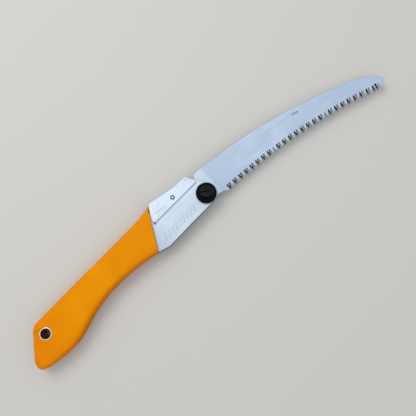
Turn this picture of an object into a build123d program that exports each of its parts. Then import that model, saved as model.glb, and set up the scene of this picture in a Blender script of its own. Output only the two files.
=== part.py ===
"""Folding pruning saw, open and locked, lying flat.

Millimetres. The origin is the centre of the hang hole in the blade's mid-plane, +X runs from the hang
hole to the blade pivot and on to the tip, +Y points to the spine and the lock lever, and +Z is the side
with the black bolt cap. Every piece is built in place in this one frame.
"""
import bisect
import math
import os

from build123d import *

# ---- pivot and rotation ----------------------------------------------------------------------------
PIVOT = (200.8, 0.0)
CLOSED_DEG = -167.8
SECOND_LOCK_DEG = 18.0
LEVER_PIVOT = (173.0, 18.9)

# ---- sheet and stack thicknesses (distances from the mid-plane are half widths) -----------------------
BLADE_T = 1.4
CHANNEL_IN = 2.3
CHANNEL_OUT = 3.8
LEVER_IN = 4.05
LEVER_OUT = 5.25
LINER_OUT = 5.0
GRIP_FACE = 9.6
EDGE_BEVEL = 0.3

# ---- blade ---------------------------------------------------------------------------------------
TOOTH_PITCH = 3.75
RAKER_PITCH = 4.35
TEETH_PER_GROUP = 16
GROUPS = 3
TOOTH_DEPTH = 6.3
GULLET_FLAT = 0.35
FIRST_TOOTH_S = 2.1
HEEL_EDGE = [
    (199, -10.2), (203, -9.4), (206.5, -8.5), (210, -8.3), (213, -8.7), (216.4, -9.6), (218.6, -11.0), (220.2, -12.4),
]
HEEL_CORNER = (220.5, -12.8)
TOOTH_LINE = [
    (219.4, -13.4), (240, -13.5), (260, -14.1), (280, -15.3), (300, -17.1), (320, -19.6),
    (340, -22.7), (360, -26.4), (380, -30.9), (400, -36.3), (406.5, -38.1), (413, -39.8),
]
BLADE_BACK = [
    (400, -14.4), (380, -7.6), (360, -1.3), (340, 4.1), (320, 9.1), (300, 13.2), (280, 16.6),
    (260, 19.3), (240, 21.3), (222, 22.5), (208, 23.2),
]
BLADE_NOSE = [
    (410.2, -37.7), (414.3, -36.4), (417.3, -35.0), (419.3, -33.6), (419.95, -32.6), (419.6, -31.4),
    (418.8, -29.8), (416.8, -26.8), (413.1, -22.8), (410.3, -20.3), (405, -17.0), (400, -14.4),
]
TANG_R = 18.0
LOCK_R = 21.2
NOTCH_R = 19.5
NOTCH_HALF = 1.45
NOTCH_DRAFT = math.tan(math.radians(17))
LOCK_ANGLE = 107.0
BUSHING_R = 7.0

# ---- bolt stack ------------------------------------------------------------------------------------
SHAFT_R = 5.0
THREAD_R = 4.0
RUN_GAP = 0.04
CAP_R = 10.3
CAP_TOP = 8.0

# ---- outlines in the side view ------------------------------------------------------------------------
GRIP_SPINE = [
    (-26.1, -17.2), (-25.6, -14.4), (-21.1, -7.5), (-15.0, 1.2), (-11.0, 7.1), (-8.8, 10.3), (-6.6, 12.5),
    (-3.2, 14.2), (10, 15.3), (30, 16.9), (50, 18.4), (80, 20.4), (110, 22.7), (130, 24.5), (141, 26.4), (156, 33.0),
]
GRIP_BELLY = [
    (-26.1, -19.2), (-25.4, -21.3), (-24.0, -23.0), (-22, -24.0), (-19, -24.8), (-10, -25.8), (0, -26.3), (10, -26.1),
    (20, -24.4), (30, -20.9), (42, -16.3), (55, -12.8), (68, -10.3), (80, -9.2), (95, -9.1), (110, -10.0),
    (121, -11.4), (134, -13.9), (156, -19.0),
]
GRIP_HALF = [(-27, 7.2), (-23.5, 8.4), (-15, 9.3), (10, 9.6), (60, 9.6), (95, 9.5), (120, 8.6), (140, 7.2), (156, 6.4)]
GRIP_STATIONS = [
    -26.1, -25.7, -25, -23.6, -21, -18, -14.5, -11, -8.8, -6.6, -3.2, 0, 8, 18, 30, 42, 55, 70, 90, 110, 125, 140, 156,
]
GRIP_SQUARENESS = 4.5
GRIP_FRONT = [(148.7, 28.9), (127.5, -12.5)]
FRAME_TOP = [(-5.2, 9.2), (0, 11.3), (50, 15.0), (100, 18.6), (130, 20.9), (146, 22.8), (150, 23.2)]
FRAME_TOP_OPEN = [(165, 22.2), (180, 21.2), (188, 19.6), (195, 17.9), (201.9, 17.4), (206, 11.4)]
FRAME_BELLY = [
    (118, -8.2), (108, -6.9), (95, -6.1), (80, -6.2), (68, -7.3), (55, -9.8), (42, -13.3),
    (30, -17.7), (20, -20.9), (10, -22.5), (0, -22.7), (-10, -22.3),
]
LEVER_TOP = [(151.7, 29.95), (160, 28.75), (170, 27.5), (178, 26.5), (184, 26.2), (190, 26.4), (195.8, 26.6)]
HANG_HOLE_R = 4.8
EYELET_TUBE_R = 5.3
EYELET_R = 6.0
SPRING_PIN = (161.0, 18.6)
PAWL_PIN = (194.3, 23.5)
TIE_POSTS = [(44.0, 9.5), (108.0, 13.6)]
RIB_COUNT = 9


def around(radius, degrees, centre=PIVOT):
    angle = math.radians(degrees)
    return (centre[0] + radius * math.cos(angle), centre[1] + radius * math.sin(angle))


def turned(point, degrees, centre=PIVOT):
    angle = math.radians(degrees)
    dx, dy = point[0] - centre[0], point[1] - centre[1]
    return (
        centre[0] + dx * math.cos(angle) - dy * math.sin(angle),
        centre[1] + dx * math.sin(angle) + dy * math.cos(angle),
    )


def notch_point(angle, radius, side):
    """A point on a lock notch's wall. side +1 is the wall nearer the blade's back, -1 the other."""
    half = NOTCH_HALF + (radius - NOTCH_R) * NOTCH_DRAFT
    a = math.radians(angle)
    return (
        PIVOT[0] + radius * math.cos(a) + side * half * math.sin(a),
        PIVOT[1] + radius * math.sin(a) - side * half * math.cos(a),
    )


def arc_points(radius, start, stop, step=4.0):
    count = max(2, int(abs(stop - start) / step) + 1)
    return [around(radius, start + (stop - start) * i / (count - 1)) for i in range(count)]


def smooth(points, count=60):
    """Points along a smooth curve through the given points."""
    curve = Edge.make_spline([Vector(x, y) for x, y in points])
    return [((curve @ (i / count)).X, (curve @ (i / count)).Y) for i in range(count + 1)]


def tooth_widths():
    """Three groups of ordinary teeth; a wider raker tooth ends each group but the last."""
    widths = []
    for group in range(GROUPS):
        widths += [TOOTH_PITCH] * TEETH_PER_GROUP
        if group < GROUPS - 1:
            widths.append(RAKER_PITCH)
    return widths


def tooth_lean(s):
    """How far a gullet's bottom sits towards the tip for each millimetre of its depth."""
    return 0.07 + 0.001 * s


def tooth_depth(s):
    """The teeth grow a little deeper towards the nose."""
    return TOOTH_DEPTH + 0.028 * max(0, s - 155)


def tooth_points():
    """The toothed edge from heel to nose: narrow gullets between pointed teeth that lean to the heel."""
    line = Edge.make_spline([Vector(x, y) for x, y in TOOTH_LINE])
    length = line.length

    def on_line(s, depth):
        where = (s + tooth_lean(s) * depth) / length
        at = line @ where
        run = line % where
        return (at.X - run.Y * depth, at.Y + run.X * depth)

    def gullet(s, depth):
        return [on_line(s - GULLET_FLAT / 2, depth), on_line(s + GULLET_FLAT / 2, depth)]

    s = FIRST_TOOTH_S
    points = [HEEL_CORNER] + gullet(s, TOOTH_DEPTH)
    widths = tooth_widths()
    for i, width in enumerate(widths):
        points.append(on_line(s + width / 2, 0))
        s += width
        last = i == len(widths) - 1
        points += gullet(s, TOOTH_DEPTH if last else tooth_depth(s))
    return points


def tang_points():
    """Back corner, the two lock notches, the rear of the tang and the flat to the heel."""
    second = LOCK_ANGLE - SECOND_LOCK_DEG
    points = [notch_point(second, 23.0, 1), notch_point(second, NOTCH_R, 1), notch_point(second, NOTCH_R, -1)]
    points += arc_points(LOCK_R, second + 5.4, LOCK_ANGLE - 5.4)
    points += [notch_point(LOCK_ANGLE, NOTCH_R, 1), notch_point(LOCK_ANGLE, NOTCH_R, -1)]
    points += arc_points(LOCK_R, LOCK_ANGLE + 5.4, 117)
    points += arc_points(TANG_R, 124, 214)
    points += [(186.6, -10.2)]
    points += smooth(HEEL_EDGE, 24)
    return points


def blade_outline():
    nose = smooth(BLADE_NOSE, 36)
    back = smooth(BLADE_BACK, 40)
    return tang_points() + tooth_points() + nose + back[1:]


def frame_belly_front():
    return [
        (200.8, -11.1), (190, -11.7), (170, -13.0), (150, -14.7), (141, -15.5), (138.5, -15.3),
        (131.2, -13.5), (127.2, -12.3),
    ]


def frame_outline():
    """Side plate of the channel frame, from the butt round the spine, nose and belly."""
    nose = arc_points(11.4, 38, -80, 6)
    rear = [(-18, -20.9), (-21.4, -17.2), (-20.9, -13.0)]
    return FRAME_TOP + FRAME_TOP_OPEN + nose + frame_belly_front() + smooth(FRAME_BELLY, 40) + rear


def lever_front():
    return [(196.0, 26.3), (198.1, 22.7), (199.9, 19.9), (201.3, 17.6), (200.3, 14.8)]


def lever_rear():
    return [(144.6, 11.3), (142.3, 12.9), (144.9, 19.6), (147.8, 25.4)]


def plate(name, points, low, high, bevel=0):
    """A flat plate with the given outline between two heights, its outer face's edges bevelled."""
    with BuildPart() as body:
        with BuildSketch(Plane.XY.offset(low)):
            with BuildLine():
                Polyline(*points, close=True)
            make_face()
        extrude(amount=high - low)
        if bevel:
            outer = body.faces().sort_by(Axis.Z)[-1 if high > 0 else 0]
            chamfer(outer.edges(), bevel)
    body.part.label = name
    return body


def solid_ring(centre, outer, inner, low, high):
    """A tube or washer standing along Z."""
    with BuildPart() as body:
        with BuildSketch(Plane.XY.offset(low)):
            with Locations(centre):
                Circle(outer)
                if inner:
                    Circle(inner, mode=Mode.SUBTRACT)
        extrude(amount=high - low)
    return body.part


def save(part, name):
    part.label = name
    export_step(part, f"parts/{name}.step")
    print(f"{name:22s} {part.volume:10.1f} mm3  {len(part.solids())} solid(s)")


# ---- blade body ------------------------------------------------------------------------------------
def make_blade():
    with BuildPart() as saw_blade:
        add(plate("saw_blade", blade_outline(), -BLADE_T / 2, BLADE_T / 2).part)
        with BuildSketch(Plane.XY.offset(-BLADE_T)):
            with Locations(PIVOT):
                Circle(BUSHING_R)
            with Locations(Location((324.4, 2.0), -14.0)):
                SlotOverall(7.4, 2.0)
        extrude(amount=2 * BLADE_T, mode=Mode.SUBTRACT)
    return saw_blade.part


def make_blade_bushing():
    return solid_ring(PIVOT, BUSHING_R, SHAFT_R + RUN_GAP, -0.95, 0.95)


# ---- frame body ------------------------------------------------------------------------------------
def rod(radius, centre, low=-10, high=10):
    return solid_ring(centre, radius, 0, low, high)


def make_frame():
    """Two side walls joined by a spine web behind the lever."""
    web = FRAME_TOP + [(x, y - 1.5) for x, y in reversed(FRAME_TOP)]
    with BuildPart() as frame_channel:
        add(plate("wall", frame_outline(), CHANNEL_IN, CHANNEL_OUT, EDGE_BEVEL).part)
        add(plate("wall", frame_outline(), -CHANNEL_OUT, -CHANNEL_IN, EDGE_BEVEL).part)
        add(plate("web", web, -CHANNEL_IN, CHANNEL_IN).part)
        add(rod(SHAFT_R + RUN_GAP, PIVOT, 0, 10), mode=Mode.SUBTRACT)
        add(rod(THREAD_R + RUN_GAP, PIVOT, -10, 0), mode=Mode.SUBTRACT)
        add(rod(EYELET_TUBE_R, (0, 0)), mode=Mode.SUBTRACT)
        add(rod(1.6, LEVER_PIVOT), mode=Mode.SUBTRACT)
        add(rod(1.3, SPRING_PIN), mode=Mode.SUBTRACT)
        for centre in TIE_POSTS:
            add(rod(1.5, centre), mode=Mode.SUBTRACT)
        add(make_ribs())
    return frame_channel.part


def make_ribs():
    """A row of slanting raised ribs pressed out of both walls for grip."""
    with BuildPart() as ribs:
        for side in (1, -1):
            for i in range(RIB_COUNT):
                x = 143.0 + 4.9 * i
                y = -5.2 + 0.33 * i
                with Locations(Location((x, y, side * (CHANNEL_OUT + 0.15)), (0, 0, 62))):
                    Box(6.6, 1.4, 0.8)
    return ribs.part


def slot_void():
    """The way the blade takes into the channel, open along the belly."""
    sweep = [around(222.6, a) for a in (182.1, 183, 184, 185, 186, 187.5, 189)]
    points = [(175, 0), (10, 0), (-5, -8)] + sweep + [(-19, -45), (175, -45)]
    return plate("slot", points, -CHANNEL_IN, CHANNEL_IN).part


def liner_envelope(grow, high):
    """The rear of the channel's side outline, grown by a margin and cut off behind the grip's front."""
    with BuildPart() as body:
        with BuildSketch(Plane.XY.offset(-high)):
            with BuildLine():
                Polyline(*frame_outline(), close=True)
            make_face()
            if grow:
                offset(amount=grow, kind=Kind.INTERSECTION)
            with BuildLine():
                Polyline((-60, -60), (-60, 60), (139.7, 60), (103.4, -60), (-60, -60))
            make_face(mode=Mode.INTERSECT)
        extrude(amount=2 * high)
    return body.part


def make_liner():
    """Hard plastic liner between the steel channel and the rubber."""
    with BuildPart() as grip_liner:
        add(liner_envelope(1.1, LINER_OUT))
        add(plate("channel", frame_outline(), -CHANNEL_OUT, CHANNEL_OUT).part, mode=Mode.SUBTRACT)
        add(slot_void(), mode=Mode.SUBTRACT)
        add(rod(EYELET_TUBE_R, (0, 0)), mode=Mode.SUBTRACT)
    return grip_liner.part


def through(points):
    """A smooth height through the given points that never overshoots them."""
    xs = [p[0] for p in points]
    ys = [p[1] for p in points]
    rise = [(ys[i + 1] - ys[i]) / (xs[i + 1] - xs[i]) for i in range(len(xs) - 1)]
    slope = [rise[0]]
    for before, after in zip(rise, rise[1:]):
        slope.append(0 if before * after <= 0 else 2 * before * after / (before + after))
    slope.append(rise[-1])

    def height(x):
        i = min(max(bisect.bisect_right(xs, x) - 1, 0), len(xs) - 2)
        h = xs[i + 1] - xs[i]
        t = (x - xs[i]) / h
        start = (2 * t**3 - 3 * t**2 + 1) * ys[i] + (t**3 - 2 * t**2 + t) * h * slope[i]
        return start + (3 * t**2 - 2 * t**3) * ys[i + 1] + (t**3 - t**2) * h * slope[i + 1]

    return height


def grip_section(x, top, bottom, half):
    """One rounded cross-section of the grip, square to X."""
    middle = (top(x) + bottom(x)) / 2
    tall = (top(x) - bottom(x)) / 2
    thick = min(half(x), 0.55 * tall + 3.6)
    power = 2 / GRIP_SQUARENESS
    points = []
    for i in range(24):
        a = 2 * math.pi * (i + 0.5) / 24
        y = middle + tall * math.copysign(abs(math.cos(a)) ** power, math.cos(a))
        z = thick * math.copysign(abs(math.sin(a)) ** power, math.sin(a))
        points.append(Vector(x, y, z))
    return Wire([Edge.make_spline(points, periodic=True)])


def grip_blank():
    """The rubber's outside: rounded sections that follow the spine, the belly and the slanting butt."""
    top, bottom, half = through(GRIP_SPINE), through(GRIP_BELLY), through(GRIP_HALF)
    return Solid.make_loft([grip_section(x, top, bottom, half) for x in GRIP_STATIONS])


def make_grip():
    front = [GRIP_FRONT[0], GRIP_FRONT[1]]
    slope = (front[0][0] - front[1][0]) / (front[0][1] - front[1][1])
    reach = [(front[1][0] + slope * (y - front[1][1]), y) for y in (-60, 60)]
    with BuildPart() as grip_rubber:
        add(grip_blank())
        add(plate("front", [reach[0], reach[1], (220, 60), (220, -60)], -20, 20).part, mode=Mode.SUBTRACT)
        add(liner_envelope(1.1, LINER_OUT), mode=Mode.SUBTRACT)
        add(plate("channel", frame_outline(), -CHANNEL_OUT, CHANNEL_OUT).part, mode=Mode.SUBTRACT)
        add(slot_void(), mode=Mode.SUBTRACT)
        add(rod(EYELET_TUBE_R, (0, 0)), mode=Mode.SUBTRACT)
        add(rod(EYELET_R + 0.1, (0, 0), 8.6, 12), mode=Mode.SUBTRACT)
        add(rod(EYELET_R + 0.1, (0, 0), -12, -8.6), mode=Mode.SUBTRACT)
        for side in (1, -1):
            add(make_lanyard_flat(side), mode=Mode.SUBTRACT)
    return grip_rubber.part


def make_lanyard_flat(side):
    """A recess from the hang hole down to the butt, for the lanyard: steep wall above, soft wall below."""
    with BuildPart() as flat:
        with BuildSketch(Plane.YZ.offset(-34)):
            with BuildLine():
                Polyline((-6.6, 0), (7.4, 0), (8.2, 5), (-16, 5), close=True)
            make_face()
        extrude(amount=38)
    tilted = Rot(0, -9, 0) * flat.part
    lifted = Pos(0, 0, 9.25) * tilted
    return lifted if side > 0 else mirror(lifted, about=Plane.XY)


def make_eyelet():
    with BuildPart() as lanyard_eyelet:
        add(solid_ring((0, 0), EYELET_TUBE_R, HANG_HOLE_R, -9.0, 9.0))
        add(solid_ring((0, 0), EYELET_R, HANG_HOLE_R, 8.6, 9.5))
        rim = lanyard_eyelet.edges().filter_by(GeomType.CIRCLE).group_by(Axis.Z)[-1].sort_by(SortBy.RADIUS)[-1]
        fillet(rim, 0.5)
    return lanyard_eyelet.part


def make_eyelet_ring():
    with BuildPart() as eyelet_back_ring:
        add(solid_ring((0, 0), EYELET_R, EYELET_TUBE_R, -9.5, -8.6))
        rim = eyelet_back_ring.edges().filter_by(GeomType.CIRCLE).group_by(Axis.Z)[0].sort_by(SortBy.RADIUS)[-1]
        fillet(rim, 0.3)
    return eyelet_back_ring.part


def make_tie_post(centre):
    with BuildPart() as tie_post:
        add(solid_ring(centre, 2.6, 0, -CHANNEL_IN, CHANNEL_IN))
        add(solid_ring(centre, 1.5, 0, -CHANNEL_OUT, CHANNEL_OUT))
    return tie_post.part


def stop_pin_centre():
    """Just off the heel's smooth edge with the blade folded."""
    touch = turned((218.6, -11.0), CLOSED_DEG)
    return (touch[0] + 0.96, touch[1] + 2.2)


def make_nut():
    with BuildPart() as pivot_nut:
        with BuildSketch(Plane.XY.offset(-GRIP_FACE)):
            with Locations(PIVOT):
                RegularPolygon(radius=8.0, side_count=6, major_radius=False)
        extrude(amount=GRIP_FACE - CHANNEL_OUT - 1.0)
        outer = pivot_nut.faces().sort_by(Axis.Z)[0].edges()
        chamfer(outer, 0.6)
        add(rod(THREAD_R + RUN_GAP, PIVOT), mode=Mode.SUBTRACT)
    return pivot_nut.part


# ---- bolt body ------------------------------------------------------------------------------------
def make_bolt():
    with BuildPart() as pivot_bolt:
        add(solid_ring(PIVOT, SHAFT_R, 0, -CHANNEL_IN + 0.05, CHANNEL_OUT + 0.1))
        add(solid_ring(PIVOT, THREAD_R, 0, -8.8, -CHANNEL_IN + 0.05))
        add(solid_ring(PIVOT, 7.0, 0, CHANNEL_OUT + 0.05, 6.2))
        end = pivot_bolt.faces().sort_by(Axis.Z)[0].edges()
        chamfer(end, 0.6)
    return pivot_bolt.part


def cap_pocket(points_or_sketch, floor):
    """A straight-walled recess in the cap's face, down to the given height."""
    with BuildPart() as pocket:
        with BuildSketch(Plane.XY.offset(floor)):
            add(points_or_sketch)
        extrude(amount=5)
    return pocket.part


def cap_crescent():
    """The low half-moon left between the dish's edge and a circle set off to the upper right."""
    with BuildSketch() as crescent:
        with Locations(PIVOT):
            Circle(7.5)
        with Locations((PIVOT[0] + 2.0, PIVOT[1] + 2.2)):
            Circle(7.6, mode=Mode.SUBTRACT)
    return crescent.sketch


def cap_slot():
    with BuildSketch() as slot:
        with Locations(Location((PIVOT[0] + 0.55, PIVOT[1] + 1.27), -31)):
            SlotOverall(13.4, 1.3)
    return slot.sketch


def cap_arc():
    """A fine curved groove round the upper right of the face."""
    with BuildSketch() as groove:
        with BuildLine():
            CenterArc(PIVOT, 6.9, -8, 74)
        trace(line_width=0.45)
    return groove.sketch


def cap_dot():
    with BuildSketch() as dot:
        with Locations((PIVOT[0] + 2.7, PIVOT[1] + 3.6)):
            Circle(0.8)
    return dot.sketch


def make_cap():
    """Moulded cap: rounded rim, dished face, a coin slot and a crescent recess."""
    with BuildPart() as bolt_cap:
        add(solid_ring(PIVOT, CAP_R, 0, CHANNEL_OUT + 0.1, CAP_TOP))
        rim = bolt_cap.edges().filter_by(GeomType.CIRCLE).group_by(Axis.Z)[-1]
        fillet(rim, 1.3)
        add(rod(8.1, PIVOT, CAP_TOP - 0.7, 12), mode=Mode.SUBTRACT)
        add(cap_pocket(cap_crescent(), CAP_TOP - 1.45), mode=Mode.SUBTRACT)
        add(cap_pocket(cap_slot(), CAP_TOP - 1.4), mode=Mode.SUBTRACT)
        add(cap_pocket(cap_arc(), CAP_TOP - 1.1), mode=Mode.SUBTRACT)
        add(cap_pocket(cap_dot(), CAP_TOP - 1.3), mode=Mode.SUBTRACT)
        add(solid_ring(PIVOT, 7.0, 0, CHANNEL_OUT, 6.2), mode=Mode.SUBTRACT)
    return bolt_cap.part


# ---- lever body ------------------------------------------------------------------------------------
def make_lever():
    outline = LEVER_TOP + lever_front() + lever_rear()
    inner = [(x - 0.4, y - 1.2) for x, y in LEVER_TOP]
    inner = [(inner[0][0] - 14, inner[0][1] + 1.4)] + inner + [(212, inner[-1][1])] + [(212, 0), (130, 0)]
    with BuildPart() as lock_lever:
        add(plate("outside", outline, -LEVER_OUT, LEVER_OUT).part)
        edges = [e for e in lock_lever.edges() if abs(abs(e.center().Z) - LEVER_OUT) < 0.01]
        chamfer(edges, 0.4)
        add(plate("inside", inner, -LEVER_IN, LEVER_IN).part, mode=Mode.SUBTRACT)
        add(rod(1.6 + RUN_GAP, LEVER_PIVOT), mode=Mode.SUBTRACT)
        add(rod(0.9, PAWL_PIN), mode=Mode.SUBTRACT)
    return lock_lever.part


def make_pawl():
    """Hardened block that drops into the tang's notches; its head fills the lever's width."""
    def at(radius, half):
        a = math.radians(LOCK_ANGLE)
        return (PIVOT[0] + radius * math.cos(a) + half * math.sin(a), PIVOT[1] + radius * math.sin(a) - half * math.cos(a))

    tip = [at(LOCK_R + 0.22, 1.2), at(LOCK_R + 0.22, -1.2), at(22.6, -1.62), at(23.4, -1.9)]
    head = [(191.2, 22.6), (191.2, 24.9), (195.6, 24.9), (196.2, 23.9)]
    with BuildPart() as lock_pawl:
        add(plate("nose", tip + [at(24.7, -1.9), at(24.7, 1.4), at(23.0, 1.6)], -2.0, 2.0).part)
        add(plate("head", head + [(196.0, 22.9)], -LEVER_IN, LEVER_IN).part)
        add(rod(0.9, PAWL_PIN), mode=Mode.SUBTRACT)
    return lock_pawl.part


def make_lever_rivet():
    """A rivet with a ring groove round the centre of each head."""
    with BuildPart() as lever_rivet:
        add(solid_ring(LEVER_PIVOT, 1.6, 0, -5.9, 5.9))
        for low, high in ((5.32, 5.9), (-5.9, -5.32)):
            add(solid_ring(LEVER_PIVOT, 2.45, 0, low, high))
        for low, high in ((5.5, 6.5), (-6.5, -5.5)):
            add(solid_ring(LEVER_PIVOT, 2.1, 1.0, low, high), mode=Mode.SUBTRACT)
    return lever_rivet.part


def make_spring():
    """Hairpin leaf round its pin: one leg under the channel's web, one under the lever's web."""
    x, y = SPRING_PIN
    bend = [around(1.62, a, SPRING_PIN) for a in range(-95, 96, 19)]
    path = [(147.6, 20.3), (153, 19.3)] + bend + [(156.5, 23.6), (152.6, 28.0)]
    with BuildPart() as lever_spring:
        with BuildSketch(Plane.XY.offset(-1.8)):
            with BuildLine():
                Polyline(*path)
            trace(line_width=0.5)
        extrude(amount=3.6)
    return lever_spring.part


def main():
    os.makedirs("parts", exist_ok=True)
    save(make_blade(), "saw_blade")
    save(make_blade_bushing(), "blade_bushing")
    save(make_frame(), "frame_channel")
    save(make_liner(), "grip_liner")
    save(make_grip(), "grip_rubber")
    save(make_eyelet(), "lanyard_eyelet")
    save(make_eyelet_ring(), "eyelet_back_ring")
    save(make_tie_post(TIE_POSTS[0]), "tie_post_rear")
    save(make_tie_post(TIE_POSTS[1]), "tie_post_front")
    save(solid_ring(stop_pin_centre(), 2.0, 0, -CHANNEL_IN, CHANNEL_IN), "blade_stop")
    save(solid_ring(SPRING_PIN, 1.3, 0, -CHANNEL_OUT, CHANNEL_OUT), "spring_pin")
    save(make_spring(), "lever_spring")
    save(solid_ring(PIVOT, 10.5, SHAFT_R + 0.08, 1.0, CHANNEL_IN), "friction_washer_top")
    save(solid_ring(PIVOT, 10.5, SHAFT_R + 0.08, -CHANNEL_IN, -1.0), "friction_washer_back")
    save(solid_ring(PIVOT, 9.0, THREAD_R + 0.3, -CHANNEL_OUT - 1.0, -CHANNEL_OUT), "nut_washer")
    save(make_nut(), "pivot_nut")
    save(make_bolt(), "pivot_bolt")
    save(make_cap(), "bolt_cap")
    save(make_lever(), "lock_lever")
    save(make_pawl(), "lock_pawl")
    save(solid_ring(PAWL_PIN, 0.9, 0, -LEVER_OUT, LEVER_OUT), "pawl_pin")
    save(make_lever_rivet(), "lever_rivet")
    save(solid_ring(LEVER_PIVOT, 2.7, 1.6, -CHANNEL_IN, CHANNEL_IN), "rivet_sleeve")


main()
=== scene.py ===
"""Looks for the folding pruning saw: materials, a detailed blade, floor, light and camera."""
import bisect
import math

import bmesh
import bpy
from mathutils import Matrix, Vector


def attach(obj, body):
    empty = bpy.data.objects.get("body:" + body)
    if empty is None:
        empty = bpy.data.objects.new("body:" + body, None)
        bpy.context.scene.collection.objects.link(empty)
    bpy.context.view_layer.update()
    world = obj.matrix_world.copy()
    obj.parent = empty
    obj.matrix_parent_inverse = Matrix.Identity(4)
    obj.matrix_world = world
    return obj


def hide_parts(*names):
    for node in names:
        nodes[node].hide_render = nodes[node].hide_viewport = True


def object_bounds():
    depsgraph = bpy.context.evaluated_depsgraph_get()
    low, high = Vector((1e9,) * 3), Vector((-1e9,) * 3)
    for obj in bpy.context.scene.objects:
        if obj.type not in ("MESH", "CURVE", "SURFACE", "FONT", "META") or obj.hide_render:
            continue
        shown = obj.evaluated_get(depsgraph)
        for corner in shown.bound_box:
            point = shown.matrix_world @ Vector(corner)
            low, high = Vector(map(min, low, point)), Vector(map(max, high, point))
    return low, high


MM = 0.001
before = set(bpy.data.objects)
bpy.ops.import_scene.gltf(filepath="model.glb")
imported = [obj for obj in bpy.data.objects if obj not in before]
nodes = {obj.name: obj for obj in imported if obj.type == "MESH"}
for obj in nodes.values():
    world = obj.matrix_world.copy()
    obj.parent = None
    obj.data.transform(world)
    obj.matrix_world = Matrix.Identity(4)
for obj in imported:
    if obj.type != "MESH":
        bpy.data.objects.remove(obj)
cad_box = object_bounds()

# ---- sizes shared with the CAD model, in millimetres -----------------------------------------------------
PIVOT = (200.8, 0.0)
BLADE_T = 1.4
TOOTH_PITCH = 3.75
RAKER_PITCH = 4.35
TEETH_PER_GROUP = 16
GROUPS = 3
TOOTH_DEPTH = 6.3
GULLET_FLAT = 0.35
FIRST_TOOTH_S = 2.1
HEEL_EDGE = [
    (199, -10.2), (203, -9.4), (206.5, -8.5), (210, -8.3), (213, -8.7), (216.4, -9.6), (218.6, -11.0), (220.2, -12.4),
]
HEEL_CORNER = (220.5, -12.8)
TOOTH_LINE = [
    (219.4, -13.4), (240, -13.5), (260, -14.1), (280, -15.3), (300, -17.1), (320, -19.6),
    (340, -22.7), (360, -26.4), (380, -30.9), (400, -36.3), (406.5, -38.1), (413, -39.8),
]
BLADE_BACK = [
    (203.7, 23.0), (208, 23.2), (222, 22.5), (240, 21.3), (260, 19.3), (280, 16.6), (300, 13.2),
    (320, 9.1), (340, 4.1), (360, -1.3), (380, -7.6), (400, -14.4),
]
BLADE_NOSE = [
    (410.2, -37.68), (414.3, -36.4), (417.3, -35.0), (419.2, -33.6), (419.8, -32.6), (419.5, -31.4),
    (418.7, -29.8), (416.7, -26.8), (413.05, -22.8), (410.25, -20.3), (405, -17.0), (400, -14.4),
]
LOCK_ANGLE = 107.0
SECOND_LOCK_DEG = 18.0
LOCK_R = 21.2
NOTCH_R = 19.5
NOTCH_HALF = 1.45
NOTCH_DRAFT = math.tan(math.radians(17))
TANG_R = 18.0
BUSHING_R = 7.0
RIVET = (173.0, 18.9)
SLOT_CENTRE = (324.4, 2.0)
SLOT_TURN = -14.0
SLOT_REACH = 2.7
SLOT_R = 1.0
CAP_FLOOR = 7.3

# ---- details that only the looks have, in millimetres ----------------------------------------------------
BACK_BEVEL = 0.25
FACET_WIDTH = 0.75
FACET_RISE = 0.9
FACET_APEX = 3.4
TIP_INSET = 0.02
BUSHING_GAP = 0.02
CAP_DISH_R = 7.9
EYELET_SHINE_R = 5.1
PAINTED_SHADE_SPOT = (143.2, 10.9)


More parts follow.
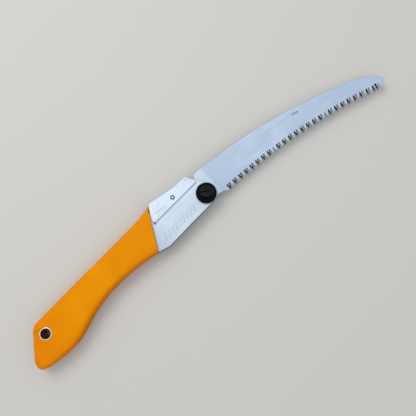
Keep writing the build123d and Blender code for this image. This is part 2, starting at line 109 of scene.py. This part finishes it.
# ---- node helpers --------------------------------------------------------------------------------------
class Shader:
    """A material under construction, with short calls for the nodes used here."""

    def __init__(self, name):
        self.material = bpy.data.materials.new(name)
        self.material.use_nodes = True
        self.tree = self.material.node_tree
        self.bsdf = self.tree.nodes["Principled BSDF"]

    def node(self, kind, **settings):
        made = self.tree.nodes.new(kind)
        for key, value in settings.items():
            setattr(made, key, value)
        return made

    def link(self, source, target):
        self.tree.links.new(source, target)

    def place(self, scale=(1, 1, 1), turn=(0, 0, 0), shift=(0, 0, 0)):
        coords = self.node("ShaderNodeTexCoord")
        mapping = self.node("ShaderNodeMapping")
        mapping.inputs["Scale"].default_value = scale
        mapping.inputs["Rotation"].default_value = turn
        mapping.inputs["Location"].default_value = shift
        self.link(coords.outputs["Object"], mapping.inputs["Vector"])
        return mapping.outputs["Vector"]

    def axis(self, output, axis):
        """One component of a texture coordinate, such as the height or the way a face looks."""
        coords = self.node("ShaderNodeTexCoord")
        split = self.node("ShaderNodeSeparateXYZ")
        self.link(coords.outputs[output], split.inputs[0])
        return split.outputs[axis]

    def noise(self, scale, detail=2.0, vector=None, roughness=0.5):
        made = self.node("ShaderNodeTexNoise")
        made.inputs["Scale"].default_value = scale
        made.inputs["Detail"].default_value = detail
        made.inputs["Roughness"].default_value = roughness
        self.link(vector or self.place(), made.inputs["Vector"])
        return made.outputs["Fac"]

    def math(self, operation, a, b=None):
        made = self.node("ShaderNodeMath", operation=operation)
        for socket, value in zip(made.inputs, (a, b)):
            if value is None:
                continue
            if isinstance(value, (int, float)):
                socket.default_value = value
            else:
                self.link(value, socket)
        return made.outputs["Value"]

    def span(self, value, low, high, out_low=0.0, out_high=1.0):
        made = self.node("ShaderNodeMapRange", interpolation_type="SMOOTHSTEP")
        for key, number in (("From Min", low), ("From Max", high), ("To Min", out_low), ("To Max", out_high)):
            made.inputs[key].default_value = number
        self.link(value, made.inputs["Value"])
        return made.outputs["Result"]

    def mix(self, factor, a, b):
        made = self.node("ShaderNodeMix", data_type="RGBA")
        for key, value in (("Factor", factor), ("A", a), ("B", b)):
            index = {"Factor": 0, "A": 6, "B": 7}[key]
            if isinstance(value, (int, float, tuple)):
                made.inputs[index].default_value = value
            else:
                self.link(value, made.inputs[index])
        return made.outputs[2]

    def bump(self, height, strength, distance, below=None):
        made = self.node("ShaderNodeBump")
        made.inputs["Strength"].default_value = strength
        made.inputs["Distance"].default_value = distance
        self.link(height, made.inputs["Height"])
        if below is not None:
            self.link(below, made.inputs["Normal"])
        return made.outputs["Normal"]

    def set(self, **values):
        names = {
            "colour": "Base Color", "rough": "Roughness", "metal": "Metallic", "normal": "Normal",
            "specular": "Specular IOR Level",
        }
        for key, value in values.items():
            socket = self.bsdf.inputs[names[key]]
            if isinstance(value, (int, float, tuple)):
                socket.default_value = value
            else:
                self.link(value, socket)

    def colour(self):
        """The output that feeds the base colour now."""
        return self.bsdf.inputs["Base Color"].links[0].from_socket


def soft_edges(s, radius):
    """The normal with rounded edges, and a mask that is bright where an edge turns."""
    rounded = s.node("ShaderNodeBevel", samples=6)
    rounded.inputs["Radius"].default_value = radius
    geometry = s.node("ShaderNodeNewGeometry")
    dot = s.node("ShaderNodeVectorMath", operation="DOT_PRODUCT")
    s.link(rounded.outputs["Normal"], dot.inputs[0])
    s.link(geometry.outputs["Normal"], dot.inputs[1])
    turn = s.math("SUBTRACT", 1.0, dot.outputs["Value"])
    patchy = s.math("MULTIPLY", turn, s.span(s.noise(700, 3), 0.3, 0.6, 0.4, 1.0))
    return rounded.outputs["Normal"], s.span(patchy, 0.01, 0.12)


# ---- materials ---------------------------------------------------------------------------------------------
def rubber():
    s = Shader("grip_rubber")
    rounded, edges = soft_edges(s, 0.0007)
    patches = s.noise(45, 3)
    grain = s.noise(2600, 2)
    colour = s.mix(s.span(patches, 0.35, 0.7), (0.79, 0.266, 0.0006, 1), (0.85, 0.298, 0.0008, 1))
    colour = s.mix(s.math("MULTIPLY", s.span(grain, 0.45, 0.75), 0.12), colour, (0.52, 0.13, 0.001, 1))
    colour = s.mix(s.math("MULTIPLY", edges, 0.25), colour, (0.85, 0.36, 0.01, 1))
    # Painted shade: faces turned to the belly side, away from the key light, are mixed to a redder, darker orange.
    below = s.math("MULTIPLY", s.span(s.axis("Normal", "Y"), -0.75, -0.05, 1.0, 0.0), 0.8)
    # The grip is also mixed to the same redder, darker orange towards the butt.
    butt = s.math("MULTIPLY", s.span(s.axis("Object", "X"), -0.02, 0.05, 1.0, 0.0), 0.6)
    colour = s.mix(s.math("MAXIMUM", below, butt), colour, (0.80, 0.212, 0.0006, 1))
    normal = s.bump(grain, 0.25, 0.00012, rounded)
    normal = s.bump(s.noise(180, 2), 0.1, 0.0004, normal)
    s.set(colour=colour, rough=s.span(patches, 0.3, 0.7, 0.56, 0.66), normal=normal, specular=0.04)
    return s.material


def satin_steel(name, dark, light, rough, streak_turn=0.0, edge=(0.93, 0.96, 1.0, 1)):
    """Plated or ground sheet: long fine streaks, cloudy patches and brighter worn edges."""
    s = Shader(name)
    rounded, edges = soft_edges(s, 0.00035)
    streaks = s.noise(900, 3, s.place(scale=(0.06, 1, 1), turn=(0, 0, streak_turn)))
    clouds = s.noise(38, 4)
    blend = s.math("ADD", s.math("MULTIPLY", streaks, 0.45), s.math("MULTIPLY", clouds, 0.55))
    colour = s.mix(s.span(blend, 0.35, 0.65), dark, light)
    colour = s.mix(s.math("MULTIPLY", edges, 0.5), colour, edge)
    normal = s.bump(streaks, 0.12, 0.00006, rounded)
    normal = s.bump(s.noise(2400, 1), 0.10, 0.00005, normal)
    s.set(colour=colour, metal=0.9, rough=s.span(blend, 0.3, 0.7, rough - 0.05, rough + 0.07), normal=normal)
    return s


def offsets(s, centre):
    """How far each point is from a centre in the side view, along X and along Y."""
    x = s.math("SUBTRACT", s.axis("Object", "X"), centre[0] * MM)
    y = s.math("SUBTRACT", s.axis("Object", "Y"), centre[1] * MM)
    return x, y


def inside_box(s, middle, size, turn):
    """1 inside a soft-edged rectangle in the side view. Sizes in millimetres, turn in degrees."""
    x, y = offsets(s, middle)
    c, n = math.cos(math.radians(turn)), math.sin(math.radians(turn))
    along = s.math("ADD", s.math("MULTIPLY", x, c), s.math("MULTIPLY", y, n))
    across = s.math("SUBTRACT", s.math("MULTIPLY", y, c), s.math("MULTIPLY", x, n))
    soft = 0.25 * MM
    mask = None
    for value, half in ((along, size[0] / 2 * MM), (across, size[1] / 2 * MM)):
        side = s.span(s.math("ABSOLUTE", value), half - soft, half + soft, 1.0, 0.0)
        mask = side if mask is None else s.math("MULTIPLY", mask, side)
    return mask


def add_marks(s, marks, shade, amount):
    """Faint printed bars in place of lettering, laid over the material's colour."""
    total = None
    for middle, size, turn in marks:
        mask = inside_box(s, middle, size, turn)
        total = mask if total is None else s.math("MAXIMUM", total, mask)
    faded = s.math("MULTIPLY", s.math("MULTIPLY", total, s.span(s.noise(1500, 2), 0.2, 0.7, 0.5, 1.0)), amount)
    s.set(colour=s.mix(faded, s.colour(), shade))


def blade_steel():
    s = satin_steel("blade_steel", (0.45, 0.55, 0.70, 1), (0.53, 0.64, 0.79, 1), 0.40, 0.0, (0.66, 0.76, 0.90, 1))
    along = s.axis("Object", "X")
    # Painted shade: the blade is darker from the heel, fading out by 275 mm.
    heel = s.math("MULTIPLY", s.span(along, 0.208, 0.275, 1.0, 0.0), 0.8)
    colour = s.mix(heel, s.colour(), (0.37, 0.455, 0.575, 1))
    s.set(colour=s.mix(s.span(along, 0.2130, 0.2146), (0.49, 0.575, 0.67, 1), colour))
    marks = []
    for i in range(5):
        marks.append(((233 + 4.6 * i, 13.6 - 0.5 * i), (3.4, 3.6 - 0.3 * (i % 2)), -6))
    for i in range(3):
        marks.append(((260, 6.3 - 2.0 * i), (17, 0.9), -6))
    for i in range(9):
        marks.append(((272 + 4.8 * i, 9.0 - 0.72 * i), (3.0, 2.0), -10))
    add_marks(s, marks, (0.50, 0.46, 0.42, 1), 0.55)
    return s.material


def frame_plate():
    """The frame's sheet, with painted shade: darker to the rear, near black on the walls facing the belly side, and a
    dark spot at the lever's rear corner.
    """
    s = satin_steel("frame_steel", (0.50, 0.575, 0.68, 1), (0.59, 0.665, 0.77, 1), 0.44)
    # Painted shade: the frame is darker towards the rear.
    rear = s.math("MULTIPLY", s.span(s.axis("Object", "X"), 0.128, 0.165, 1.0, 0.0), 0.45)
    colour = s.mix(rear, s.colour(), (0.40, 0.455, 0.54, 1))
    # Painted shade: faces turned to the belly side, away from the key light, are painted near black.
    painted_edge_shade = s.span(s.axis("Normal", "Y"), -0.6, -0.4, 1.0, 0.0)
    colour = s.mix(painted_edge_shade, colour, (0.05, 0.04, 0.035, 1))
    # Painted shade: a small dark round spot at the lever's rear corner.
    s.set(colour=s.mix(ring_mask(s, PAINTED_SHADE_SPOT, -1, 1.0), colour, (0.05, 0.05, 0.055, 1)))
    return s.material


def lever_steel():
    s = satin_steel("lever_steel", (0.52, 0.60, 0.71, 1), (0.61, 0.69, 0.80, 1), 0.42)
    marks = [((151.8 + 2.6 * i, 17.7 - 0.25 * i), (2.3, 2.7), -5) for i in range(5)]
    marks.append(((156.8, 22.0), (4.0, 0.8), 8))
    add_marks(s, marks, (0.34, 0.37, 0.40, 1), 0.45)
    return s.material


def ring_mask(s, centre, inner, outer):
    """1 between two radii round a point in the side view. Millimetres."""
    x, y = offsets(s, centre)
    radius = s.math("SQRT", s.math("ADD", s.math("MULTIPLY", x, x), s.math("MULTIPLY", y, y)))
    soft = 0.1 * MM
    inside = s.span(radius, outer * MM - soft, outer * MM + soft, 1.0, 0.0)
    return s.math("MULTIPLY", inside, s.span(radius, inner * MM - soft, inner * MM + soft))


def rivet_steel():
    """Plated rivet head with painted shade, patchy and near black, in the groove round its centre."""
    s = satin_steel("rivet_steel", (0.62, 0.71, 0.82, 1), (0.72, 0.80, 0.90, 1), 0.36)
    # Painted shade: the groove round the centre is darkened near black.
    painted_groove_shade = s.math("MULTIPLY", ring_mask(s, RIVET, 0.95, 2.2), s.span(s.noise(1800, 2), 0.2, 0.6, 0.8, 1.0))
    s.set(colour=s.mix(painted_groove_shade, s.colour(), (0.018, 0.018, 0.02, 1)))
    return s.material


def tooth_bevel():
    """Ground facets, shiny, with grinding lines; their near-black colour is a painted dark reflection and shade."""
    s = Shader("tooth_bevel")
    lines = s.noise(4000, 2, s.place(scale=(1, 0.1, 1)))
    # Painted dark reflection and shade: the facets' colour is near black.
    colour = s.mix(lines, (0.010, 0.010, 0.012, 1), (0.045, 0.046, 0.05, 1))
    s.set(colour=colour, metal=0.85, rough=0.22, normal=s.bump(lines, 0.15, 0.00003))
    return s.material


def turned_steel(name, colour, rough):
    s = Shader(name)
    rounded, edges = soft_edges(s, 0.0002)
    fine = s.noise(3000, 2)
    shade = s.mix(fine, tuple(0.8 * c for c in colour) + (1,), colour + (1,))
    shade = s.mix(s.math("MULTIPLY", edges, 0.4), shade, tuple(min(1, 1.3 * c) for c in colour) + (1,))
    s.set(colour=shade, metal=1.0, rough=rough, normal=s.bump(fine, 0.12, 0.00004, rounded))
    return s


def moulded(name, colour, light, rough, specular=0.3):
    """Moulded plastic with a fine grain and slightly paler edges."""
    s = Shader(name)
    rounded, edges = soft_edges(s, 0.0003)
    grain = s.noise(1700, 3)
    shade = s.mix(grain, colour + (1,), light + (1,))
    shade = s.mix(s.math("MULTIPLY", edges, 0.35), shade, tuple(min(1, 2.0 * c) for c in light) + (1,))
    s.set(colour=shade, rough=s.span(grain, 0.3, 0.7, rough - 0.06, rough + 0.08), specular=specular)
    s.set(normal=s.bump(grain, 0.18, 0.00008, rounded))
    return s


def cap_plastic():
    """Black cap: glossy rim, a slightly paler dished face and painted shade, near black, in the recesses."""
    s = moulded("cap_plastic", (0.0015, 0.002, 0.0025), (0.004, 0.0045, 0.005), 0.5, 0.04)
    colour = s.mix(ring_mask(s, PIVOT, -1, CAP_DISH_R), s.colour(), (0.0145, 0.0165, 0.018, 1))
    # Painted shade: everything below the dish floor is darkened near black.
    painted_recess_shade = s.span(s.axis("Object", "Z"), (CAP_FLOOR - 0.5) * MM, (CAP_FLOOR - 0.1) * MM, 1.0, 0.0)
    s.set(colour=s.mix(painted_recess_shade, colour, (0.0008, 0.0008, 0.0009, 1)))
    return s.material


def eyelet_metal():
    """Bright rolled rim round an inside wall painted a dull brownish orange as shade."""
    s = turned_steel("eyelet_metal", (0.90, 0.88, 0.91), 0.28)
    # Painted shade: below 8.6 mm from the middle and inside the rim, the eyelet is painted a dull brownish orange.
    low = s.span(s.math("ABSOLUTE", s.axis("Object", "Z")), 8.6 * MM, 9.2 * MM, 1.0, 0.0)
    inside = s.math("MAXIMUM", low, ring_mask(s, (0, 0), -1, EYELET_SHINE_R))
    s.set(colour=s.mix(inside, s.colour(), (0.34, 0.13, 0.035, 1)))
    return s.material


def dress_nodes():
    """Give every CAD node its own material."""
    steel = turned_steel("hard_steel", (0.50, 0.51, 0.53), 0.32).material
    spring = turned_steel("spring_steel", (0.22, 0.23, 0.27), 0.35).material
    eyelet = eyelet_metal()
    liner = moulded("liner_plastic", (0.03, 0.03, 0.03), (0.05, 0.05, 0.05), 0.5).material
    washer = moulded("washer_plastic", (0.70, 0.70, 0.66), (0.80, 0.80, 0.76), 0.4).material
    chosen = {
        "grip_rubber": rubber(), "frame_channel": frame_plate(), "lever_rivet": rivet_steel(),
        "lock_lever": lever_steel(), "lanyard_eyelet": eyelet, "eyelet_back_ring": eyelet, "bolt_cap": cap_plastic(),
        "grip_liner": liner, "friction_washer_top": washer, "friction_washer_back": washer,
        "lever_spring": spring,
    }
    for name, node in nodes.items():
        material = chosen.get(name, steel)
        for slot in node.material_slots:
            slot.material = material
        if not node.material_slots:
            node.data.materials.append(material)


# ---- the detailed blade --------------------------------------------------------------------------------
def through(points):
    """A smooth height through the given points that never overshoots them."""
    xs = [p[0] for p in points]
    ys = [p[1] for p in points]
    rise = [(ys[i + 1] - ys[i]) / (xs[i + 1] - xs[i]) for i in range(len(xs) - 1)]
    slope = [rise[0]] + [(a + b) / 2 for a, b in zip(rise, rise[1:])] + [rise[-1]]

    def height(x):
        i = min(max(bisect.bisect_right(xs, x) - 1, 0), len(xs) - 2)
        h = xs[i + 1] - xs[i]
        t = (x - xs[i]) / h
        start = (2 * t**3 - 3 * t**2 + 1) * ys[i] + (t**3 - 2 * t**2 + t) * h * slope[i]
        return start + (3 * t**2 - 2 * t**3) * ys[i + 1] + (t**3 - t**2) * h * slope[i + 1]

    return height


def tooth_line():
    """A function giving the point and direction at an arc length along the toothed edge."""
    height = through(TOOTH_LINE)
    start, stop, steps = TOOTH_LINE[0][0], TOOTH_LINE[-1][0], 2000
    table = [(0.0, start, height(start))]
    for i in range(1, steps + 1):
        x = start + (stop - start) * i / steps
        s, px, py = table[-1]
        table.append((s + math.hypot(x - px, height(x) - py), x, height(x)))
    lengths = [row[0] for row in table]

    def at(s, depth):
        i = min(max(bisect.bisect_right(lengths, s) - 1, 0), steps - 1)
        s0, x0, y0 = table[i]
        s1, x1, y1 = table[i + 1]
        ux, uy = (x1 - x0) / (s1 - s0), (y1 - y0) / (s1 - s0)
        return (x0 + ux * (s - s0) - uy * depth, y0 + uy * (s - s0) + ux * depth)

    return at


def teeth():
    """Start, width and kind of each tooth: ground on the cap side, ground on the back, or a square raker."""
    rows = []
    s = FIRST_TOOTH_S
    for group in range(GROUPS):
        for i in range(TEETH_PER_GROUP):
            rows.append((s, TOOTH_PITCH, "back" if i % 2 else "front"))
            s += TOOTH_PITCH
        if group < GROUPS - 1:
            rows.append((s, RAKER_PITCH, "square"))
            s += RAKER_PITCH
    rows[-1] = (s - TOOTH_PITCH, TOOTH_PITCH, "front")
    return rows


def tooth_depth(s):
    """The teeth grow a little deeper towards the nose."""
    return TOOTH_DEPTH + 0.028 * max(0, s - 155)


def tooth_lean(s):
    """How far a gullet's bottom sits towards the tip for each millimetre of its depth."""
    return 0.07 + 0.001 * s


def toothed_edge():
    """Matching front and back outlines of the teeth, which lean to the heel."""
    line = tooth_line()
    flat = GULLET_FLAT / 2
    rows = teeth()

    def at(s, depth):
        return line(s + tooth_lean(s) * depth, depth)

    start = [HEEL_CORNER, at(FIRST_TOOTH_S - flat, TOOTH_DEPTH)]
    front, back = list(start), list(start)
    for s, width, kind in rows:
        stop = s + width
        left = tooth_depth(s)
        right = TOOTH_DEPTH if s == rows[-1][0] else tooth_depth(stop)
        tip = s + width / 2
        true = [at(s + flat, left), at(tip, TIP_INSET), at(stop - flat, right)]
        cut = [
            at(s + flat + FACET_WIDTH, left + FACET_RISE),
            at(tip, FACET_APEX),
            at(stop - flat - FACET_WIDTH, right + FACET_RISE),
        ]
        front += cut if kind == "front" else true
        back += cut if kind == "back" else true
    end = [at(stop + flat, TOOTH_DEPTH)]
    return front + end, back + end


def around(radius, degrees):
    """A point at a radius and an angle from the pivot."""
    a = math.radians(degrees)
    return (PIVOT[0] + radius * math.cos(a), PIVOT[1] + radius * math.sin(a))


def notch(angle, radius, side):
    """A point on a lock notch's wall. side +1 is the wall nearer the blade's back, -1 the other."""
    half = NOTCH_HALF + (radius - NOTCH_R) * NOTCH_DRAFT
    a = math.radians(angle)
    x, y = around(radius, angle)
    return (x + side * half * math.sin(a), y - side * half * math.cos(a))


def arc(radius, start, stop, count):
    """Points on a circle round the pivot, from one angle to another."""
    return [around(radius, start + (stop - start) * i / (count - 1)) for i in range(count)]


def tang():
    """Back corner, the two lock notches, the rear of the tang and the heel's smooth edge."""
    second = LOCK_ANGLE - SECOND_LOCK_DEG
    points = [notch(second, 23.0, 1), notch(second, NOTCH_R, 1), notch(second, NOTCH_R, -1)]
    points += arc(LOCK_R, second + 5.4, LOCK_ANGLE - 5.4, 3)
    points += [notch(LOCK_ANGLE, NOTCH_R, 1), notch(LOCK_ANGLE, NOTCH_R, -1)]
    points += arc(LOCK_R, LOCK_ANGLE + 5.4, 117, 2) + arc(TANG_R, 124, 214, 22)
    return points + curve_through(HEEL_EDGE, 3)


def curve_through(points, steps):
    """Points along a smooth curve that passes through the given ones."""
    ends = [points[0]] + points + [points[-1]]
    made = []
    for i in range(len(points) - 1):
        a, b, c, d = ends[i:i + 4]
        for k in range(steps):
            u = k / steps
            made.append(tuple(
                0.5 * (2 * b[j] + (c[j] - a[j]) * u + (2 * a[j] - 5 * b[j] + 4 * c[j] - d[j]) * u**2
                       + (3 * b[j] - a[j] - 3 * c[j] + d[j]) * u**3)
                for j in (0, 1)
            ))
    return made + [points[-1]]


def nose_and_back():
    """From the last tooth round the nose and along the back to the tang's corner."""
    height = through(BLADE_BACK)
    back = [(x, height(x)) for x in range(396, 207, -4)]
    return curve_through(BLADE_NOSE, 4) + back


def inset(points, amount):
    """The same points moved to the left of their direction of travel, less at both ends."""
    moved = []
    last = len(points) - 1
    for i, (x, y) in enumerate(points):
        before, after = points[max(i - 1, 0)], points[min(i + 1, last)]
        dx, dy = after[0] - before[0], after[1] - before[1]
        size = amount * min(1, i / 6, (last - i) / 2) / math.hypot(dx, dy)
        moved.append((x - dy * size, y + dx * size))
    return moved


def slot_loop():
    """The small slanting slot near the tip."""
    c, n = math.cos(math.radians(SLOT_TURN)), math.sin(math.radians(SLOT_TURN))
    points = []
    for end, first in ((1, -90), (-1, 90)):
        for i in range(9):
            a = math.radians(first + 180 * i / 8)
            x, y = end * SLOT_REACH + SLOT_R * math.cos(a), SLOT_R * math.sin(a)
            points.append((SLOT_CENTRE[0] + x * c - y * n, SLOT_CENTRE[1] + x * n + y * c))
    return points


def wall_loop(bm, front, back, walls, index, top, low):
    """Two loops joined by walls. Returns the edges of the front loop and of the back loop."""
    a = [bm.verts.new((x * MM, y * MM, top * MM)) for x, y in front]
    b = [bm.verts.new((x * MM, y * MM, low * MM)) for x, y in back]
    count = len(a)
    for i in range(count):
        j = (i + 1) % count
        face = bm.faces.new((a[i], b[i], b[j], a[j]))
        face.material_index = index[walls[i]]
    upper = [bm.edges.get((a[i], a[(i + 1) % count])) for i in range(count)]
    lower = [bm.edges.get((b[i], b[(i + 1) % count])) for i in range(count)]
    return upper, lower


def make_blade():
    """The blade with ground teeth, in place of the CAD model's plain one."""
    front, back = toothed_edge()
    rest = nose_and_back()
    start = tang()
    walls = ["edge"] * len(start) + ["bevel"] * (len(front) - 1) + ["edge"] * (len(rest) + 1)
    front = start + front + inset(rest, BACK_BEVEL)
    back = start + back + rest
    bm = bmesh.new()
    index = {"edge": 0, "bevel": 1}
    half = BLADE_T / 2
    upper, lower = wall_loop(bm, front, back, walls, index, half, -half)
    for ring in (slot_loop(), [around(BUSHING_R + BUSHING_GAP, 360 * i / 48) for i in range(48)]):
        more_up, more_low = wall_loop(bm, ring, ring, ["edge"] * len(ring), index, half, -half)
        upper += more_up
        lower += more_low
    for loop in (upper, lower):
        bmesh.ops.triangle_fill(bm, edges=loop, use_beauty=True)
    bmesh.ops.recalc_face_normals(bm, faces=bm.faces)
    mesh = bpy.data.meshes.new("blade_detailed")
    bm.to_mesh(mesh)
    bm.free()
    mesh.materials.append(blade_steel())
    mesh.materials.append(tooth_bevel())
    blade = bpy.data.objects.new("blade_detailed", mesh)
    bpy.context.scene.collection.objects.link(blade)
    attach(blade, "blade")
    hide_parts("saw_blade")


# ---- floor, light and camera ----------------------------------------------------------------------------
def make_floor():
    """A plain pale floor just under the saw."""
    z = cad_box[0][2] - 0.00005
    mesh = bpy.data.meshes.new("floor")
    mesh.from_pydata([(-3, -3, z), (3, -3, z), (3, 3, z), (-3, 3, z)], [], [(0, 1, 2, 3)])
    floor = bpy.data.objects.new("floor", mesh)
    bpy.context.scene.collection.objects.link(floor)
    s = Shader("floor")
    s.set(colour=(0.62, 0.60, 0.57, 1), rough=0.75)
    mesh.materials.append(s.material)


def area_light(name, place, target, size, power, colour):
    """A round soft light aimed at a point."""
    data = bpy.data.lights.new(name, "AREA")
    data.shape = "DISK"
    data.size = size
    data.energy = power
    data.color = colour
    light = bpy.data.objects.new(name, data)
    light.location = place
    light.rotation_euler = (Vector(target) - Vector(place)).to_track_quat("-Z", "Y").to_euler()
    bpy.context.scene.collection.objects.link(light)


def make_light():
    """A bright overcast zenith fading to a dim horizon, and one soft key from the spine's side."""
    world = bpy.data.worlds.new("studio")
    bpy.context.scene.world = world
    world.use_nodes = True
    tree = world.node_tree
    coords = tree.nodes.new("ShaderNodeTexCoord")
    split = tree.nodes.new("ShaderNodeSeparateXYZ")
    ramp = tree.nodes.new("ShaderNodeValToRGB")
    ramp.color_ramp.elements[0].position = 0.0
    ramp.color_ramp.elements[0].color = (0.20, 0.215, 0.23, 1)
    ramp.color_ramp.elements[1].position = 0.72
    ramp.color_ramp.elements[1].color = (0.94, 0.97, 1.0, 1)
    tree.links.new(coords.outputs["Generated"], split.inputs[0])
    tree.links.new(split.outputs["Z"], ramp.inputs["Fac"])
    tree.links.new(ramp.outputs["Color"], tree.nodes["Background"].inputs["Color"])
    tree.nodes["Background"].inputs["Strength"].default_value = 0.91
    area_light("key", (0.16, 0.75, 1.00), (0.2, 0, 0), 0.8, 5.0, (1.0, 0.98, 0.94))


def make_camera():
    """Nearly straight down, turned so that the saw runs from bottom left to top right."""
    place = Vector((0.14588, -0.06366, 0.44099))
    target = Vector((0.19256, -0.01170, 0.0))
    right = Vector((0.7439, -0.6683, 0.0)).normalized()
    back = (place - target).normalized()
    up = back.cross(right)
    data = bpy.data.cameras.new("camera")
    data.sensor_width = 36.0
    data.lens = 38.94
    data.clip_start = 0.01
    camera = bpy.data.objects.new("camera", data)
    matrix = Matrix((right, up, back)).transposed().to_4x4()
    matrix.translation = place
    camera.matrix_world = matrix
    bpy.context.scene.collection.objects.link(camera)
    bpy.context.scene.camera = camera
    bpy.context.scene.view_settings.view_transform = "Standard"


dress_nodes()
make_blade()
make_floor()
make_light()
make_camera()
